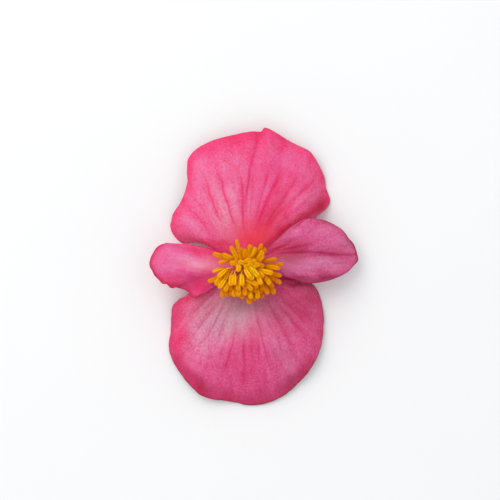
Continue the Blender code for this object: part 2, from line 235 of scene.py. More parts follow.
class Reading:
    """A number that varies over a surface. Arithmetic on readings adds Math nodes."""

    def __init__(self, recipe, socket):
        self.recipe = recipe
        self.socket = socket

    def maths(self, operation, *numbers):
        inputs = dict(enumerate(numbers))
        return self.recipe.node("Math", {"operation": operation}, inputs)

    def __add__(self, other):
        return self.maths("ADD", self, other)

    def __sub__(self, other):
        return self.maths("SUBTRACT", self, other)

    def __mul__(self, other):
        return self.maths("MULTIPLY", self, other)

    def __truediv__(self, other):
        return self.maths("DIVIDE", self, other)

    def __radd__(self, other):
        return self.maths("ADD", other, self)

    def __rsub__(self, other):
        return self.maths("SUBTRACT", other, self)

    def __rmul__(self, other):
        return self.maths("MULTIPLY", other, self)

    def __abs__(self):
        return self.maths("ABSOLUTE", self)

    def sine(self):
        return self.maths("SINE", self)


class Recipe:
    """One finish: a Principled shader whose pattern is written as arithmetic on readings."""

    def __init__(self, name):
        self.material = bpy.data.materials.new(name)
        self.material.use_nodes = True
        self.tree = self.material.node_tree
        self.shader = self.tree.nodes["Principled BSDF"]

    def node(self, kind, settings=None, inputs=None, output=0):
        """Any node: its kind, its settings, then the values or links of its sockets."""
        made = self.tree.nodes.new("ShaderNode" + kind)
        for name, value in (settings or {}).items():
            setattr(made, name, value)
        for name, value in (inputs or {}).items():
            self.feed(made.inputs[name], value)
        return Reading(self, made.outputs[output])

    def feed(self, socket, value):
        if isinstance(value, Reading):
            self.tree.links.new(value.socket, socket)
        else:
            socket.default_value = value

    def tint(self, factor, under, over):
        """One colour over another, by a factor. A plain colour is as it shows on screen."""
        under, over = (c if isinstance(c, Reading) else screen(*c) for c in (under, over))
        settings = {"data_type": "RGBA", "clamp_factor": True}
        return self.node("Mix", settings, {0: factor, 6: under, 7: over}, output=2)

    def faded(self, colour, share, red=0.0):
        """A colour whose green and blue rise by a share, as in tissue with less red pigment.

        Blue rises by six tenths of the share, and red by the part of it that is given.
        """
        kept = {0: 1.0 + share * red, 1: 1.0 + share, 2: 1.0 + share * 0.6}
        lift = self.node("CombineXYZ", inputs=kept)
        return self.node("VectorMath", {"operation": "MULTIPLY"}, {0: colour, 1: lift})

    def place(self):
        """Place on the bloom, in metres."""
        return self.node("TexCoord", output="Object")

    def wandering(self, at, size, reach):
        """A place moved about by soft noise, so that what is painted there looks grown."""
        noise = {"Vector": at, "Scale": 1.0 / (size * MM), "Detail": 2.0}
        cloud = self.node("TexNoise", inputs=noise, output="Color")
        away = self.node("VectorMath", {"operation": "SUBTRACT"}, {0: cloud, 1: (0.5, 0.5, 0.5)})
        return self.node("VectorMath", {"operation": "MULTIPLY_ADD"},
                         {0: away, 1: (reach * MM, reach * MM, 0.0), 2: at})

    def parts(self, vector):
        """The three numbers of a vector."""
        first = self.node("SeparateXYZ", inputs={0: vector})
        outputs = first.socket.node.outputs
        return first, Reading(self, outputs["Y"]), Reading(self, outputs["Z"])

    def two_of(self, name):
        """Both numbers of one of the mesh's maps."""
        return self.parts(self.node("UVMap", {"uv_map": name}))[:2]

    def noise(self, size, detail=3.0, roughness=0.5, at=None):
        """Soft random pattern, 0 to 1, whose patches are about size millimetres across."""
        inputs = {"Vector": at or self.place(), "Scale": 1.0 / (size * MM), "Detail": detail,
                  "Roughness": roughness}
        return self.node("TexNoise", inputs=inputs)

    def streaks(self, across, outward, count, length, detail=2.0):
        """Random streaks that run out from the claw, count of them across the tepal."""
        at = self.node("CombineXYZ", inputs={0: across * count, 1: outward * length})
        return self.node("TexNoise", inputs={"Vector": at, "Scale": 1.0, "Detail": detail})

    def patch(self, at, centre, reach, turn=0.0):
        """1 in the middle of a soft oval, falling off to 0 around it. Sizes in millimetres."""
        inputs = {"Vector": at, "Location": (centre[0] * MM, centre[1] * MM, 0.0),
                  "Rotation": (0.0, 0.0, math.radians(turn)),
                  "Scale": (reach[0] * MM, reach[1] * MM, 1.0)}
        inside = self.node("Mapping", {"vector_type": "TEXTURE"}, inputs)
        away = self.node("VectorMath", {"operation": "LENGTH"}, {0: inside}, output="Value")
        return fade(away)

    def bump(self, height, depth):
        """Relief finer than the mesh, depth in millimetres."""
        self.set({"Normal": self.node("Bump", inputs={"Height": height, "Distance": depth * MM})})

    def set(self, values):
        for name, value in values.items():
            self.feed(self.shader.inputs[name], value)

    def finished(self, colour, roughness, shine, glow=0.0, spread=(1.0, 1.0, 1.0), depth=0.0):
        """The material, with its highlight and how much light wanders inside it.

        Spread is how far each colour of that light gets, as shares of a depth in millimetres.
        """
        self.set({"Base Color": colour, "Roughness": roughness, "Specular IOR Level": shine,
                  "Subsurface Weight": glow, "Subsurface Radius": spread,
                  "Subsurface Scale": depth * MM})
        return self.material


# These work on readings of a shader and on arrays of a mesh alike

def at_least(x, least):
    return x.maths("MAXIMUM", x, least) if isinstance(x, Reading) else np.maximum(x, least)


def at_most(x, most):
    return x.maths("MINIMUM", x, most) if isinstance(x, Reading) else np.minimum(x, most)


def rise(x, low, high):
    """0 below low, 1 above high, and smooth between them."""
    share = at_least(at_most((x - low) * (1.0 / (high - low)), 1.0), 0.0)
    return share * share * (3.0 - 2.0 * share)


def fade(x):
    """1 where a number is 0, falling off softly to 0 on both sides."""
    power = x * x * -1.0
    return power.maths("EXPONENT", power) if isinstance(x, Reading) else np.exp(power)


def line_place(outward, claw, margin, bend):
    """Where across a tepal a line runs that starts at one place and ends at another."""
    place = outward * (margin - claw) + claw
    return place + outward * (1.0 - outward) * bend if bend else place


def line_mark(blade, across, outward, line, halo=0.0):
    """1 along a line on a tepal and 0 away from it. It runs between two shares of the length.

    A share of it can be a halo, three times as wide as the line.
    """
    claw, margin, bend, first, last, width = line[:6]
    away = (across - line_place(outward, claw, margin, bend)) * blade.width_at(outward)
    away = away * (1.0 / width)
    inside = at_least(at_most(at_most(outward - first, last - outward) * 6.0, 1.0), 0.0)
    if halo:
        return (fade(away) * (1.0 - halo) + fade(away * 0.33) * halo) * inside
    return fade(away) * inside


def strongest_mark(blade, across, outward, lines, halo=0.0):
    """The strongest mark of several lines, each by its own strength."""
    strongest = 0.0
    for line in lines:
        mark = line_mark(blade, across, outward, line, halo) * line[6]
        strongest = at_least(mark, strongest)
    return strongest


def travelled(x, y, axis=0):
    """How far each point of a line is from its start, along the line."""
    steps = np.hypot(np.diff(x, axis=axis), np.diff(y, axis=axis))
    return np.insert(np.cumsum(steps, axis=axis), 0, 0.0, axis=axis)


class Blade:
    """A tepal as a net of points: rows from its claw to its margin, columns across it."""

    def __init__(self, margin, claw, bows, height, rows, columns):
        even = np.linspace(0.0, 1.0, columns + 1)
        crowded = 0.5 - 0.5 * np.cos(np.pi * even)
        spread = (1.0 - SIDE_CROWDING) * even + SIDE_CROWDING * crowded
        steps = 1.0 - (1.0 - np.linspace(0.0, 1.0, rows + 1)) ** MARGIN_CROWDING
        self.across, self.outward = np.meshgrid(spread, steps)
        bearing = np.radians(claw[0] + (claw[1] - claw[0]) * spread)
        base = CLAW_RADIUS * np.stack([np.cos(bearing), np.sin(bearing)], axis=-1)
        rim = along_curve(margin, spread)
        plan = base + (rim - base) * self.outward[..., None]
        for edge, bow, near in ((0, bows[0], 1.0 - spread), (-1, bows[1], spread)):
            run = rim[edge] - base[edge]
            left = np.array([-run[1], run[0]]) / np.hypot(*run)
            swell = (bow[0] * np.sin(np.pi * self.outward)
                     + bow[1] * np.sin(np.pi * self.outward ** 2))
            plan = plan + (swell * near ** BOW_SHARPNESS)[..., None] * left
        self.x = plan[..., 0]
        self.y = plan[..., 1]
        self.claw_width = math.radians(claw[1] - claw[0]) * CLAW_RADIUS
        self.margin_width = float(np.hypot(*np.diff(rim, axis=0).T).sum())
        self.inset = self.from_edge()
        self.z = np.maximum(height(self), SOLID_HALF_THICKNESS)

    def from_edge(self):
        """How far each point is from the free edges, in millimetres, in plan."""
        out = travelled(self.x, self.y)
        side = travelled(self.x, self.y, axis=1)
        return np.minimum(out[-1] - out, np.minimum(side, side[:, -1:] - side))

    def width_at(self, outward):
        """Width of the tepal in millimetres, at a share of its length."""
        return outward * (self.margin_width - self.claw_width) + self.claw_width


def along_curve(points, places):
    """Points on a smooth curve through the given ones, at shares of its length."""
    ends = np.array([points[0], *points, points[-1]], dtype=float)
    ends[0] = 2.0 * ends[1] - ends[2]
    ends[-1] = 2.0 * ends[-2] - ends[-3]
    line = []
    for a, b, c, d in zip(ends, ends[1:], ends[2:], ends[3:]):
        for share in np.arange(CURVE_STEPS) / CURVE_STEPS:
            line.append(0.5 * (2.0 * b + (c - a) * share
                               + (2.0 * a - 5.0 * b + 4.0 * c - d) * share ** 2
                               + (3.0 * b - a - 3.0 * c + d) * share ** 3))
    line = np.array([*line, ends[-2]])
    run = travelled(line[:, 0], line[:, 1])
    at = places * run[-1]
    return np.stack([np.interp(at, run, line[:, axis]) for axis in (0, 1)], axis=-1)


def dome(x, y):
    """Height of the crown that all tepals share."""
    reach = np.minimum(np.hypot(x, y) / CROWN_RADIUS, CROWN_END)
    return CLAW_HEIGHT + CROWN_RISE * np.sin(reach * np.pi / 2.0)


def curl(outward, start, power):
    """0 up to a share of the length, then rising to 1 at the margin."""
    return np.clip((outward - start) / (1.0 - start), 0.0, 1.0) ** power


def ridge(distance, width):
    """1 on a line, falling off to 0 on both sides of it."""
    return np.exp(-((distance / width) ** 2))


def side_droop(blade, depth, sharpness):
    """How far a tepal sinks along both of its sides."""
    return depth * np.abs(2.0 * blade.across - 1.0) ** sharpness


def eased(values, places, heights):
    """Smooth steps between heights at chosen places."""
    spot = np.interp(values, places, np.arange(len(places)))
    low = np.minimum(spot.astype(int), len(places) - 2)
    share = rise(spot - low, 0.0, 1.0)
    heights = np.array(heights)
    return heights[low] + (heights[low + 1] - heights[low]) * share


def hanging_free(x, y):
    """0 where an inner tepal lies over an outer one, 1 where it hangs in the open."""
    return np.clip((np.hypot(x, y) - FREE_FROM) / FREE_RUN, 0.0, 1.0)


# Heights of the tepals. Each form is its size in millimetres times the place where it shows,
# and bearings round the bloom's axis are in degrees

def upper_height(blade):
    bearing = np.degrees(np.arctan2(blade.y, blade.x))
    sink = eased(bearing, (32, 42, 66, 90, 122, 142, 160), (5.8, 5.2, 2.6, 1.6, 2.6, 4.0, 5.8))
    notch = 0.6 * ridge(bearing - 83.6, 2.6) * curl(blade.outward, 0.55, 2.2)
    lip = 0.45 * ridge(bearing - 78.5, 3.0) * curl(blade.outward, 0.55, 2.0)
    hollow = 0.45 * ridge(bearing - 110.0, 7.0) * curl(blade.outward, 0.2, 1.0)
    waves = 0.22 * np.sin(np.radians(bearing) * 14.0 + 0.6) * curl(blade.outward, 0.3, 2.0)
    return (dome(blade.x, blade.y) - sink * curl(blade.outward, 0.42, 2.3)
            - notch + lip - hollow + waves - side_droop(blade, 0.7, 10))


def lower_height(blade):
    bearing = np.degrees(np.arctan2(blade.y, blade.x)) % 360.0
    sink = eased(bearing, (202, 212, 222, 236, 252, 274, 300, 322, 342),
                 (3.0, 4.2, 5.6, 4.2, 3.4, 4.9, 3.8, 4.6, 5.8))
    crown = 0.5 * ridge(np.hypot(blade.x, blade.y + 15.0), 9.0)
    folds = 0.2 * np.sin(np.radians(bearing) * 12.0) * curl(blade.outward, 0.3, 1.5)
    return (dome(blade.x, blade.y) + crown - sink * curl(blade.outward, 0.42, 2.6)
            + folds - side_droop(blade, 0.7, 10))


def right_height(blade):
    free = hanging_free(blade.x, blade.y)
    valley = ridge(blade.across - line_place(blade.outward, *RIGHT_CREASE), 0.10)
    crease = 0.9 * valley * curl(blade.outward, 0.15, 0.6)
    pleat = 0.3 * ridge(blade.across - 0.80, 0.06) * ridge(blade.outward - 0.35, 0.3)
    edges = side_droop(blade, 1.2, 5) * free
    tip = 3.2 * free ** 1.5
    return dome(blade.x, blade.y) + LAYER_STEP - crease - pleat - edges - tip


def left_height(blade):
    free = hanging_free(blade.x, blade.y)
    spine = 0.9 * ridge(blade.across - 0.42, 0.24) * curl(blade.outward, 0.2, 0.8)
    lower_edge = 4.0 * curl(blade.across, 0.55, 1.4) * free
    upper_edge = 1.2 * curl(1.0 - blade.across, 0.75, 1.4) * free
    tip = 2.4 * free ** 1.5 * (1.0 - blade.across)
    waves = 0.35 * np.sin(blade.across * 24.0) * curl(blade.outward, 0.55, 1.5)
    return (dome(blade.x, blade.y) + LAYER_STEP + spine - lower_edge - upper_edge
            - tip + waves)


def undulation(x, y, size, seed):
    """Soft random relief, mostly between -1 and 1, in waves about size millimetres long."""
    draw = random.Random(seed)
    total = 0.0
    for _ in range(WAVES_MIXED):
        heading = draw.uniform(0.0, math.tau)
        waves = math.tau / (size * draw.uniform(0.7, 1.5))
        phase = draw.uniform(0.0, math.tau)
        total = total + np.sin((x * math.cos(heading) + y * math.sin(heading)) * waves + phase)
    return total / WAVES_SHARE


def add_object(name, data):
    made = bpy.data.objects.new(name, data)
    bpy.context.scene.collection.objects.link(made)
    return made


def make_piece(name, points, faces, maps, finish, node):
    """A smooth mesh piece from points in millimetres, which stands for a CAD node."""
    mesh = bpy.data.meshes.new(name)
    mesh.from_pydata((np.asarray(points) * MM).tolist(), [], faces)
    mesh.shade_smooth()
    for map_name, values in maps.items():
        layer = mesh.uv_layers.new(name=map_name)
        layer.data.foreach_set("uv", np.asarray(values, dtype=np.float32).ravel())
    mesh.materials.append(finish)
    mesh.update()
    piece = add_object(name, mesh)
    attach(piece, "root")
    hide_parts(node)


def quads_of(net):
    """Four-sided faces between neighbouring points of a net of point numbers."""
    corners = [net[:-1, :-1], net[:-1, 1:], net[1:, 1:], net[1:, :-1]]
    return np.stack(corners, axis=-1).reshape(-1, 4)


def tepal_mesh(blade, relief):
    """Both faces of a blade, closed along a thin rounded edge."""
    middle = np.stack([blade.x, blade.y, blade.z], axis=-1)
    normal = np.cross(np.gradient(middle, axis=0), np.gradient(middle, axis=1))
    normal /= np.linalg.norm(normal, axis=-1, keepdims=True)
    normal *= np.sign(normal[..., 2:])
    near = np.clip(1.0 - blade.inset / MARGIN_ROUNDING, 0.0, 1.0)
    half = (MARGIN_HALF_THICKNESS
            + (BLADE_HALF_THICKNESS - MARGIN_HALF_THICKNESS) * np.sqrt(1.0 - near ** 2))
    top = middle + normal * (relief + half)[..., None]
    bottom = middle + normal * (relief - half)[..., None]
    bottom[..., 2] = np.maximum(bottom[..., 2], LOWEST_POINT)
    count = blade.x.size
    number = np.arange(count).reshape(blade.x.shape)
    quads = [quads_of(number)[:, ::-1], quads_of(number + count)]
    ring = np.concatenate([number[0, :-1], number[:-1, -1], number[-1, :0:-1], number[:0:-1, 0]])
    after = np.roll(ring, -1)
    quads.append(np.stack([ring, after, after + count, ring + count], axis=-1))
    faces = np.concatenate(quads)
    corners = faces.ravel() % count
    growth = np.stack([blade.across.ravel(), blade.outward.ravel()], axis=-1)
    edge = np.stack([blade.inset.ravel(), blade.inset.ravel()], axis=-1)
    maps = {GROWTH_MAP: growth[corners], EDGE_MAP: edge[corners]}
    points = np.concatenate([top.reshape(-1, 3), bottom.reshape(-1, 3)])
    return points, faces.tolist(), maps


def tepal_relief(blade, tepal):
    """Veins and folds pressed into the face, and soft waves that grow towards the margin."""
    across = blade.across
    outward = blade.outward
    free = rise(outward, 0.1, 0.5)
    relief = -VEIN_DEPTH * strongest_mark(blade, across, outward, tepal["veins"])
    for fold in tepal["folds"]:
        relief = relief - fold[7] * line_mark(blade, across, outward, fold)
    seed = tepal["seed"]
    for number, (size, height) in enumerate(TISSUE_WAVES):
        relief = relief + height * undulation(blade.x, blade.y, size, seed + number) * free
    size, height = MARGIN_WAVES
    waves = undulation(blade.x, blade.y, size, seed + len(TISSUE_WAVES))
    return relief + height * waves * ridge(blade.inset, MARGIN_WAVES_REACH)


def tube_mesh(rings):
    """A closed tube through rings of points. Its map runs once around and once along."""
    rings = np.asarray(rings, dtype=float)
    count, sides = rings.shape[:2]
    points = np.concatenate([rings.reshape(-1, 3), [rings[0].mean(axis=0)],
                             [rings[-1].mean(axis=0)]])
    net = np.arange(count * (sides + 1)).reshape(count, sides + 1)
    row, side = np.divmod(quads_of(net), sides + 1)
    faces = (row * sides + side % sides).tolist()
    uvs = np.stack([side / sides, row / (count - 1)], axis=-1).reshape(-1, 2).tolist()
    last = (count - 1) * sides
    for side in range(sides):
        after = (side + 1) % sides
        left = side / sides
        right = (side + 1) / sides
        faces += [(count * sides, after, side), (count * sides + 1, last + side, last + after)]
        uvs += [(left, 0.0), (right, 0.0), (left, 0.0), (left, 1.0), (left, 1.0), (right, 1.0)]
    return points, faces, uvs


def round_turns(count):
    """Bearings once round, in radians."""
    return (math.tau * step / count for step in range(count))


def gather(tubes):
    """Several tube meshes as one."""
    points = []
    faces = []
    uvs = []
    start = 0
    for tube_points, tube_faces, tube_uvs in tubes:
        points.append(tube_points)
        faces += [tuple(corner + start for corner in face) for face in tube_faces]
        uvs += tube_uvs
        start += len(tube_points)
    return np.concatenate(points), faces, uvs


def stamen_plan():
    """For each stamen: heel, heading and length of its anther, its roll and how lit it is painted.
    """
    for *tenths, roll, painted_lit in STAMENS:
        tip_x, tip_y, heel_x, heel_y, lift = (number / 10.0 for number in tenths)
        reach = math.hypot(heel_x - COLUMN_PLACE[0], heel_y - COLUMN_PLACE[1])
        reach = min(reach, HEAD_REACH)
        crown = (1.0 - (reach / HEAD_REACH) ** 2) ** HEAD_ROUNDNESS
        height = HEAD_BASE + HEAD_RISE * crown + lift
        plan = math.hypot(tip_x - heel_x, tip_y - heel_y)
        length = max(SHORTEST_ANTHER, plan * ANTHER_STRETCH)
        aim = Vector((tip_x - heel_x, tip_y - heel_y, math.sqrt(length ** 2 - plan ** 2)))
        heel = Vector((heel_x, heel_y, height))
        yield heel, aim.normalized(), length, math.radians(roll), painted_lit / 100.0


def anther_rings(heel, aim, length, roll, draw):
    """Rings of one anther: a narrow heel, two pollen sacs side by side and a round tip."""
    side = Matrix.Rotation(roll, 3, aim) @ aim.cross(UP).normalized()
    face = side.cross(aim)
    sway = draw.uniform(-0.14, 0.14)
    arch = draw.uniform(0.04, 0.16)
    plump = draw.uniform(0.92, 1.04)
    outline = []
    for turn in round_turns(ANTHER_SIDES):
        wide = math.cos(turn)
        deep = math.sin(turn)
        slit = 1.0 - SLIT_DEPTH * math.exp(-((deep / SLIT_WIDTH) ** 2))
        furrow = 1.0 - FURROW_DEPTH * math.exp(-((wide / FURROW_WIDTH) ** 2))
        outline.append((wide, slit, deep, furrow))
    rings = []
    for step in range(ANTHER_RINGS):
        share = 0.5 - 0.5 * math.cos(math.pi * step / (ANTHER_RINGS - 1.0))
        widening = math.sin(min(share / FULL_FROM, 1.0) * math.pi / 2.0)
        body = HEEL_WIDTH + (1.0 - HEEL_WIDTH) * widening
        foot = math.sqrt(1.0 - 0.95 * max(1.0 - share / HEEL_ROUNDING, 0.0) ** 2)
        beyond = max(share - (1.0 - TIP_ROUNDING), 0.0) / TIP_ROUNDING
        tip = math.sqrt(max(1.0 - beyond ** 2, 0.002))
        size = body * foot * tip * plump
        centre = (heel + aim * (share * length) + face * (arch * math.sin(math.pi * share))
                  + side * (sway * math.sin(math.pi * share)))
        rings.append([centre + side * (ANTHER_HALF_WIDTH * size * wide * slit)
                      + face * (ANTHER_HALF_DEPTH * size * deep * furrow)
                      for wide, slit, deep, furrow in outline])
    return rings


def filament_rings(start, heel, aim, anther_aim):
    """Rings of one filament, which bends from its own heading into its anther's."""
    length = (heel - start).length
    first = start + aim * (length * 0.45)
    second = heel - anther_aim * (length * 0.25)
    end = heel + anther_aim * FILAMENT_GRIP
    rings = []
    for share in np.linspace(0.0, 1.0, FILAMENT_RINGS):
        rest = 1.0 - share
        centre = (start * rest ** 3 + first * (3.0 * rest ** 2 * share)
                  + second * (3.0 * rest * share ** 2) + end * share ** 3)
        heading = (aim * rest + anther_aim * share).normalized()
        side = heading.cross(UP).normalized()
        face = side.cross(heading)
        radius = FILAMENT_RADIUS * (1.15 - 0.40 * share + 0.25 * max(share - 0.8, 0.0) * 5.0)
        rings.append([centre + side * (radius * math.cos(turn)) + face * (radius * math.sin(turn))
                      for turn in round_turns(FILAMENT_SIDES)])
    return rings


def turned_rings(profile, steps, sides, shape, centre=(0.0, 0.0)):
    """Rings of a turned piece, along a smooth profile of radii and heights.

    Shape gives the share of its radius at a bearing and a height.
    """
    rings = []
    for radius, height in along_curve(profile, np.linspace(0.0, 1.0, steps + 1)):
        ring = []
        for turn in round_turns(sides):
            reach = radius * shape(turn, height)
            ring.append((centre[0] + reach * math.cos(turn), centre[1] + reach * math.sin(turn),
                         height))
        rings.append(ring)
    return rings


def knobbly(turn, height):
    """Share of the column's radius, which rises and falls between the filaments."""
    return 1.0 + 0.05 * math.sin(turn * 9.0) * math.sin(height * 6.0)


def fluted(turn, height):
    """Share of the stalk's radius, with twelve soft flutes and finer ribs."""
    return 1.0 + 0.018 * math.sin(turn * 12.0) + 0.008 * math.sin(turn * 29.0 + height)


def add_stamens():
    """The anthers, the filaments below them and the column that carries them."""
    foot = Vector((*COLUMN_PLACE, 0.0))
    anthers = []
    filaments = []
    painted_lit_shares = []
    draw = random.Random(STAMEN_SEED)
    for heel, aim, length, roll, painted_lit in stamen_plan():
        away = Vector((heel.x - foot.x, heel.y - foot.y, 0.0))
        share = min(away.length / ROOT_SPREAD, 1.0)
        height = ROOT_HEIGHT - ROOT_DROP * share
        start = foot + away.normalized() * (ROOT_RADIUS * share) + UP * height
        rising = ((heel - start).normalized() + UP * ROOT_RISE).normalized()
        anthers.append(tube_mesh(anther_rings(heel, aim, length, roll, draw)))
        filaments.append(tube_mesh(filament_rings(start, heel, rising, aim)))
        painted_lit_shares += [(painted_lit, draw.random())] * len(anthers[-1][2])
    column = turned_rings(COLUMN_PROFILE, 18, 40, knobbly, COLUMN_PLACE)
    pieces = (("anthers", gather(anthers), anther_finish(), {PAINTED_LIGHT_MAP: painted_lit_shares}),
              ("filaments", gather(filaments), filament_finish(), {}),
              ("stamen_column", tube_mesh(column), column_finish(), {}))
    for name, (points, faces, uvs), finish, maps in pieces:
        make_piece(name, points, faces, {GROWTH_MAP: uvs, **maps}, finish, "stamen_head")


def add_stalk():
    """The cut stalk, its collar and the receptacle, as one turned piece."""
    points, faces, uvs = tube_mesh(turned_rings(STALK_PROFILE, 60, 72, fluted))
    make_piece("stalk_and_receptacle", points, faces, {GROWTH_MAP: uvs}, stalk_finish(),
               "flower_stalk")


def tepal_finish(blade, tepal):
    """Living petal tissue: two pinks, soft patches, some of them painted light and shade,
    mottling, painted shade along the folds, veins, a deeper margin and a rim painted darker on the
    side away from the light.

    A patch is a colour, the place of its middle, its reach both ways, its turn and its strength.
    """
    made = Recipe(tepal["node"] + "_tissue")
    across, outward = made.two_of(GROWTH_MAP)
    inset, _ = made.two_of(EDGE_MAP)
    at = made.place()
    x, y, _ = made.parts(at)
    grown = made.wandering(made.wandering(at, 7.0, 3.4), 1.8, 1.1)
    clouds = made.noise(CLOUD_SIZE, 3.0, 0.55, grown)
    pink, deep_pink = tepal["pinks"]
    colour = made.tint(rise(clouds, 0.30, 0.70), pink, deep_pink)
    # Some patches are painted light and shade, as the tables of patches say
    for patch_colour, middle, reach, turn, strength in tepal["patches"]:
        spread = made.patch(grown, middle, reach, turn)
        colour = made.tint(spread * strength, colour, patch_colour)

    edge, reach, strength = tepal["edge"]
    band = 1.0 - rise(inset + (clouds - 0.5) * 2.4, 0.2, reach)
    colour = made.tint(band * strength, colour, edge)

    soft = made.noise(MOTTLE_SIZE, 2.0, 0.5, grown)
    drift = across + (soft - 0.5) * 0.03
    breadth = tepal["breadth"]
    dashes = made.streaks(drift, outward + soft * 0.1, DASHES_ACROSS * breadth, 2.6, 1.0)
    fine = made.streaks(drift, outward, STREAKS_ACROSS * breadth, 7.0, 3.0)
    cells = made.noise(CELL_SIZE, 3.0, 0.75, at)
    pale = ((soft - 0.5) * 0.5 + (dashes - 0.5) * tepal["streak"] + (fine - 0.5) * 0.8
            + (cells - 0.5) * tepal["grain"])
    calm = 1.0 - CALMNESS * made.patch(at, *tepal["calm"])
    colour = made.faded(colour, pale * calm, tepal["shade"])

    # Painted shade along the folds
    for fold in tepal["folds"]:
        mark = line_mark(blade, across, outward, fold)
        colour = made.tint(mark * fold[6], colour, tepal["painted_fold_shade"])
    curved = across + (clouds - 0.5) * 0.03
    seen = strongest_mark(blade, curved, outward, tepal["veins"], 0.30) * (clouds + 0.65)
    colour = made.faded(colour, at_least(seen * -VEIN_STRENGTH, -0.9), tepal["vein_shade"])

    # Painted light and shade on the rim: lighter towards the lamp at the upper left, darker on the
    # side away from it
    rim, shaded_rim, reach, strength = tepal["rim"]
    light_side = 1.0 - rise((x * 0.8 - y * 0.6) / MM, -5.0, 6.0)
    rim_colour = made.tint(light_side, shaded_rim, rim)
    band = 1.0 - rise(inset + (soft - 0.5) * 0.3, 0.06, reach)
    colour = made.tint(band * strength, colour, rim_colour)

    made.bump(cells * 0.6 + fine * 0.4, 0.025)
    return made.finished(colour, 0.44 + 0.2 * cells, 0.20, 0.22, (1.0, 0.30, 0.40), 0.9)


def anther_finish():
    """Anthers painted from shaded orange to lit yellow, with painted highlights along two pollen
    sacs, a soft furrow, and painted shade on the flanks and ends.
    """
    made = Recipe("pollen_sacs")
    around, along = made.two_of(GROWTH_MAP)
    painted_lit, chance = made.two_of(PAINTED_LIGHT_MAP)
    grain = made.noise(0.22, 3.0, 0.7)
    mottle = made.noise(1.1, 2.0)
    # Painted light and shade: each anther goes from shaded orange to lit yellow by its painted
    # share of light, with a real mottle
    colour = made.tint(painted_lit + (mottle - 0.5) * 0.6, ANTHER_PAINTED_SHADE_ORANGE, ANTHER_PAINTED_LIT_BODY)
    off = around - 0.25
    away = abs(off)
    # Painted shade on the flanks
    flank_shade = rise(away, 0.15, 0.27)
    colour = made.tint(flank_shade * 0.35, colour, ANTHER_PAINTED_SHADE)
    # Painted highlights along the two pollen sacs of the lit anthers, stronger on one of them
    length = rise(along, 0.12, 0.34) * (1.0 - rise(along, 0.62, 0.90))
    sac = rise(away, 0.045, 0.070) * (1.0 - rise(away, 0.105, 0.130))
    sunny = 1.0 - 0.6 * abs(rise(off, -0.02, 0.02) - rise(chance, 0.2, 0.8))
    colour = made.tint(sac * length * sunny * rise(painted_lit, 0.0, 0.9), colour, POLLEN_YELLOW_AND_HIGHLIGHT)
    # Painted shade at both ends
    ends = rise(along, 0.84, 1.0) + (1.0 - rise(along, 0.0, 0.12))
    colour = made.tint(ends * 0.35, colour, ANTHER_PAINTED_SHADE)
    colour = made.tint(rise(grain, 0.52, 0.75) * 0.2, colour, POLLEN_YELLOW_AND_HIGHLIGHT)
    made.bump(grain, 0.04)
    return made.finished(colour, 0.5 + 0.25 * grain, 0.06, 0.40, (0.80, 0.68, 0.10), 0.35)


def filament_finish():
    made = Recipe("filament_tissue")
    _, along = made.two_of(GROWTH_MAP)
    grain = made.noise(0.35, 3.0, 0.6)
    colour = made.tint(rise(along, 0.25, 0.95), FILAMENT_FOOT, FILAMENT_TOP)
    colour = made.tint(rise(grain, 0.45, 0.75) * 0.35, colour, FILAMENT_PALE)
    made.bump(grain, 0.03)
    return made.finished(colour, 0.35 + 0.2 * grain, 0.4, 0.3, (1.0, 0.5, 0.3), 0.4)


def column_finish():
    made = Recipe("column_tissue")
    blotch = made.noise(0.6, 4.0, 0.6)
    colour = made.tint(rise(blotch, 0.35, 0.65), COLUMN_OLIVE, COLUMN_OCHRE)
    made.bump(blotch, 0.08)
    return made.finished(colour, 0.5 + 0.2 * blotch, 0.3)


def stalk_finish():
    """Fluted green stalk, flushed pink below the tepals, with a fibrous brown cut end."""
    made = Recipe("stalk_skin")
    around, _ = made.two_of(GROWTH_MAP)
    height = made.parts(made.place())[2] / MM
    turn = around * math.tau
    ring = {0: turn.sine() * 14.0, 1: (turn + 1.57).sine() * 14.0, 2: height * 0.5}
    fibres = made.node("TexNoise", inputs={"Vector": made.node("CombineXYZ", inputs=ring),
                                           "Scale": 1.0, "Detail": 3.0})
    blotch = made.noise(1.2, 3.0, 0.6)
    colour = made.tint(rise(height + blotch * 2.0 - 1.0, 0.6, 3.0), STALK_GREEN, STALK_PINK)
    colour = made.tint(rise(fibres, 0.45, 0.72) * 0.5, colour, STALK_PALE)
    colour = made.tint(rise(blotch, 0.55, 0.75) * 0.35, colour, STALK_RED)
    colour = made.tint(rise(height, 3.2, 4.4) * 0.9, colour, RECEPTACLE_PINK)
    cut = 1.0 - rise(height, 0.015, 0.10)
    pith = made.tint(rise(made.noise(0.25, 4.0, 0.7), 0.4, 0.65), STALK_CUT, STALK_PALE)
    colour = made.tint(cut, colour, pith)
    made.bump(fibres * 0.7 + blotch * 0.3, 0.12)
    return made.finished(colour, 0.42 + 0.25 * blotch, 0.4, 0.15, (1.0, 0.7, 0.4), 0.6)


# Colours of the stamens and the stalk, as they show on screen
# The anthers' body and orange are painted lit and shaded copies of one colour, the flank colour is
# painted shade, and the yellow is pollen grain and painted highlight
ANTHER_PAINTED_LIT_BODY = (236, 162, 0)
ANTHER_PAINTED_SHADE_ORANGE = (222, 126, 0)
ANTHER_PAINTED_SHADE = (216, 116, 0)
POLLEN_YELLOW_AND_HIGHLIGHT = (255, 215, 18)
FILAMENT_FOOT = (250, 160, 110)
FILAMENT_TOP = (252, 180, 80)
FILAMENT_PALE = (252, 200, 140)
COLUMN_OLIVE = (150, 114, 12)
COLUMN_OCHRE = (200, 146, 24)
RECEPTACLE_PINK = (232, 110, 140)
STALK_GREEN = (150, 172, 96)
STALK_PINK = (206, 132, 128)
STALK_PALE = (214, 210, 160)
STALK_RED = (186, 84, 92)
STALK_CUT = (170, 140, 92)
